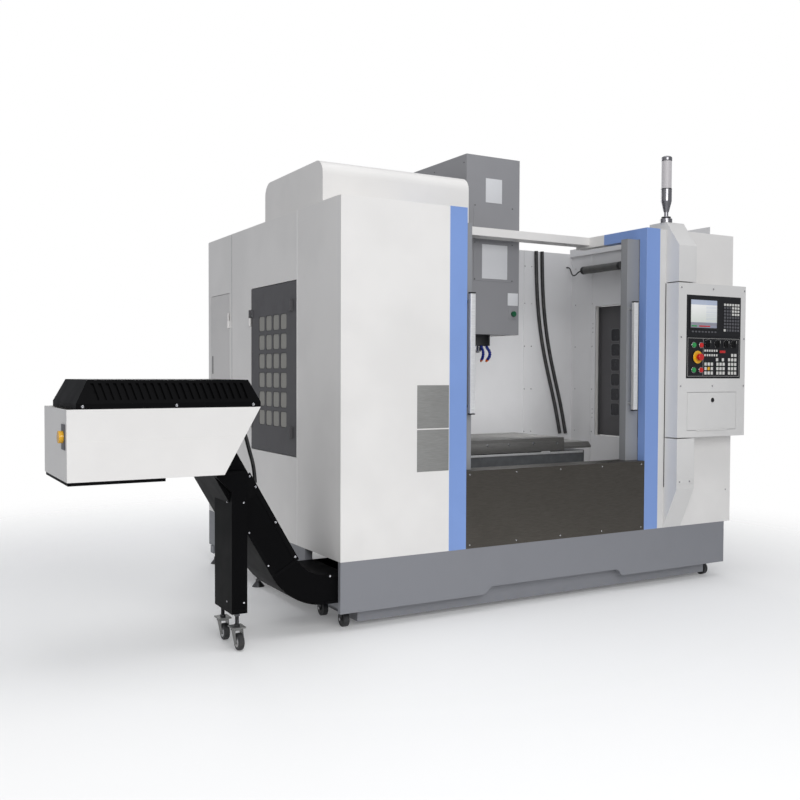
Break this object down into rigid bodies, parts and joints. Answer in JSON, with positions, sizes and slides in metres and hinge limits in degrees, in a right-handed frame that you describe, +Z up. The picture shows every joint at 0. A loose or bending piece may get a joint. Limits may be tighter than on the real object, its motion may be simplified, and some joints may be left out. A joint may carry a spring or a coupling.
{
  "type": "vertical machining centre",
  "caption": "Vertical machining centre with sheet-metal enclosure, sliding front doors, T-slot table, spindle head, tool magazine, operator pendant and side chip conveyor.",
  "frame": {"origin": "on the floor under the middle of the whole machine's bounding box", "axes": "+X to the operator's right, +Y away from the operator to the rear, +Z up"},
  "size_m": [3.868, 2.396, 2.465],
  "materials": {
    "white_paint": "satin light grey-white powder coat",
    "blue_paint": "satin mid-blue powder coat",
    "skirt_grey": "fine-textured mid grey paint",
    "dark_grey": "textured dark grey paint",
    "cover_grey": "satin grey paint",
    "conveyor_black": "glossy black paint",
    "cast_iron": "painted casting with ground ways",
    "stainless": "brushed stainless sheet",
    "ground_steel": "ground steel",
    "bright_steel": "polished steel",
    "black_plastic": "moulded black plastic",
    "red_plastic": "moulded red plastic",
    "green_plastic": "moulded green plastic",
    "yellow_plastic": "moulded yellow plastic",
    "panel_plastic": "dark membrane panel",
    "rubber": "black rubber",
    "hose": "ribbed black hose",
    "glass": "clear laminated pane",
    "lamp_glass": "frosted tube with metal ends",
    "amber_plastic": "stacked translucent lens on a white base",
    "nozzle_plastic": "segmented blue and orange plastic hose"
  },
  "bodies": {
    "frame": {"base_casting": "cast_iron", "column": "cast_iron", "levelling_feet": "ground_steel", "lower_frame": "skirt_grey", "coolant_tank": "skirt_grey", "left_front_panel": "white_paint", "left_side_panel": "white_paint", "right_cabinet": "white_paint", "left_blue_strip": "blue_paint", "right_blue_strip": "blue_paint", "overhead_beam": "white_paint", "apron_plate": "stainless", "inner_walls": "white_paint", "chip_tray": "stainless", "magazine_cover": "white_paint", "tool_changer_housing": "cast_iron", "control_post": "white_paint", "pendant_box": "white_paint", "display_unit": "panel_plastic", "operator_panel": "panel_plastic", "signal_tower": "amber_plastic", "work_lamp": "lamp_glass", "hoses_and_leads": "hose", "conveyor_duct": "conveyor_black", "conveyor_head_box": "white_paint", "conveyor_vent_cover": "conveyor_black", "conveyor_leg": "conveyor_black", "electrical_cabinet": "white_paint"},
    "saddle_body": {"saddle": "cast_iron"},
    "table_body": {"table": "ground_steel"},
    "x_screw": {"x_ball_screw": "ground_steel"},
    "y_screw": {"y_ball_screw": "ground_steel"},
    "head": {"head_casting": "cast_iron", "head_cover": "cover_grey", "spindle_motor": "black_plastic", "coolant_nozzles": "nozzle_plastic"},
    "z_screw": {"z_ball_screw": "ground_steel"},
    "spindle_body": {"spindle": "bright_steel"},
    "magazine_body": {"tool_magazine": "ground_steel"},
    "arm_body": {"change_arm": "ground_steel"},
    "left_door_body": {"left_door": "cover_grey", "left_door_window": "glass"},
    "right_door_body": {"right_door": "cover_grey", "right_door_window": "glass"},
    "left_service": {"left_service_door": "dark_grey"},
    "right_service": {"right_service_door": "dark_grey"},
    "rear_access": {"rear_access_door": "white_paint"},
    "storage": {"storage_door": "white_paint"},
    "stop_body": {"emergency_stop": "red_plastic"},
    "cycle_start": {"cycle_start_button": "green_plastic"},
    "feed_hold": {"feed_hold_button": "red_plastic"},
    "power_on": {"power_on_button": "green_plastic"},
    "power_off": {"power_off_button": "red_plastic"},
    "mode_body": {"mode_knob": "black_plastic"},
    "feed_body": {"feed_knob": "black_plastic"},
    "rapid_body": {"rapid_knob": "black_plastic"},
    "spindle_knob_body": {"spindle_knob": "black_plastic"},
    "switch_body": {"conveyor_switch": "yellow_plastic"},
    "front_wheel": {"front_caster_wheel": "rubber"},
    "rear_wheel": {"rear_caster_wheel": "rubber"}
  },
  "joints": [
    {"name": "saddle_travel", "type": "slide", "parent": "frame", "child": "saddle_body", "axis": [0, 1, 0], "range_m": [-0.25, 0.25]},
    {"name": "table_travel", "type": "slide", "parent": "saddle_body", "child": "table_body", "axis": [1, 0, 0], "range_m": [-0.4, 0.4]},
    {"name": "x_screw_turn", "type": "hinge", "parent": "saddle_body", "child": "x_screw", "pos_m": [0.607, -0.249, 0.655], "axis": [1, 0, 0], "continuous": true},
    {"name": "y_screw_turn", "type": "hinge", "parent": "frame", "child": "y_screw", "pos_m": [0.607, -0.062, 0.43], "axis": [0, 1, 0], "continuous": true},
    {"name": "head_travel", "type": "slide", "parent": "frame", "child": "head", "axis": [0, 0, 1], "range_m": [-0.4, 0.09]},
    {"name": "z_screw_turn", "type": "hinge", "parent": "frame", "child": "z_screw", "pos_m": [0.607, 0.388, 1.5], "axis": [0, 0, 1], "continuous": true},
    {"name": "spindle_turn", "type": "hinge", "parent": "head", "child": "spindle_body", "pos_m": [0.607, -0.249, 1.5], "axis": [0, 0, 1], "continuous": true},
    {"name": "magazine_turn", "type": "hinge", "parent": "frame", "child": "magazine_body", "pos_m": [-0.182, -0.2035, 1.9], "axis": [1, 0, 0], "continuous": true},
    {"name": "arm_turn", "type": "hinge", "parent": "frame", "child": "arm_body", "pos_m": [0.337, -0.249, 1.3], "axis": [0, 0, 1], "range_deg": [0, 270]},
    {"name": "left_door_slide", "type": "slide", "parent": "frame", "child": "left_door_body", "axis": [1, 0, 0], "range_m": [0, 0.535]},
    {"name": "right_door_slide", "type": "slide", "parent": "frame", "child": "right_door_body", "axis": [-1, 0, 0], "range_m": [0, 0.512]},
    {"name": "left_service_swing", "type": "hinge", "parent": "frame", "child": "left_service", "pos_m": [-0.69, 0.085, 1.2], "axis": [0, 0, -1], "range_deg": [0, 110]},
    {"name": "right_service_swing", "type": "hinge", "parent": "frame", "child": "right_service", "pos_m": [1.926, 0.085, 1.2], "axis": [0, 0, 1], "range_deg": [0, 110]},
    {"name": "rear_access_swing", "type": "hinge", "parent": "frame", "child": "rear_access", "pos_m": [-0.69, 0.448, 1.2], "axis": [0, 0, 1], "range_deg": [0, 100]},
    {"name": "storage_swing", "type": "hinge", "parent": "frame", "child": "storage", "pos_m": [1.6435, -1.165, 0.889], "axis": [1, 0, 0], "range_deg": [0, 90]},
    {"name": "stop_push", "type": "slide", "parent": "frame", "child": "stop_body", "axis": [0, 1, 0], "range_m": [0, 0.006], "stiffness_N_per_m": 900},
    {"name": "cycle_start_push", "type": "slide", "parent": "frame", "child": "cycle_start", "axis": [0, 1, 0], "range_m": [0, 0.003], "stiffness_N_per_m": 600},
    {"name": "feed_hold_push", "type": "slide", "parent": "frame", "child": "feed_hold", "axis": [0, 1, 0], "range_m": [0, 0.003], "stiffness_N_per_m": 600},
    {"name": "power_on_push", "type": "slide", "parent": "frame", "child": "power_on", "axis": [0, 1, 0], "range_m": [0, 0.003], "stiffness_N_per_m": 600},
    {"name": "power_off_push", "type": "slide", "parent": "frame", "child": "power_off", "axis": [0, 1, 0], "range_m": [0, 0.003], "stiffness_N_per_m": 600},
    {"name": "mode_turn", "type": "hinge", "parent": "frame", "child": "mode_body", "pos_m": [1.604, -1.162, 1.382], "axis": [0, 1, 0], "range_deg": [-135, 135]},
    {"name": "feed_turn", "type": "hinge", "parent": "frame", "child": "feed_body", "pos_m": [1.683, -1.162, 1.382], "axis": [0, 1, 0], "range_deg": [-135, 135]},
    {"name": "rapid_turn", "type": "hinge", "parent": "frame", "child": "rapid_body", "pos_m": [1.755, -1.162, 1.382], "axis": [0, 1, 0], "range_deg": [-135, 135]},
    {"name": "spindle_knob_turn", "type": "hinge", "parent": "frame", "child": "spindle_knob_body", "pos_m": [1.818, -1.162, 1.382], "axis": [0, 1, 0], "range_deg": [-135, 135]},
    {"name": "conveyor_switch_turn", "type": "hinge", "parent": "frame", "child": "switch_body", "pos_m": [-1.912, -1.12, 0.955], "axis": [1, 0, 0], "range_deg": [0, 90]},
    {"name": "front_wheel_roll", "type": "hinge", "parent": "frame", "child": "front_wheel", "pos_m": [-1.179, -1.076, 0.037], "axis": [1, 0, 0], "continuous": true},
    {"name": "rear_wheel_roll", "type": "hinge", "parent": "frame", "child": "rear_wheel", "pos_m": [-1.179, -0.89, 0.037], "axis": [1, 0, 0], "continuous": true}
  ],
  "couplings": [
    {"joint": "x_screw_turn", "follows": "table_travel", "rad_per_m": 628.32},
    {"joint": "y_screw_turn", "follows": "saddle_travel", "rad_per_m": 628.32},
    {"joint": "z_screw_turn", "follows": "head_travel", "rad_per_m": 628.32}
  ]
}
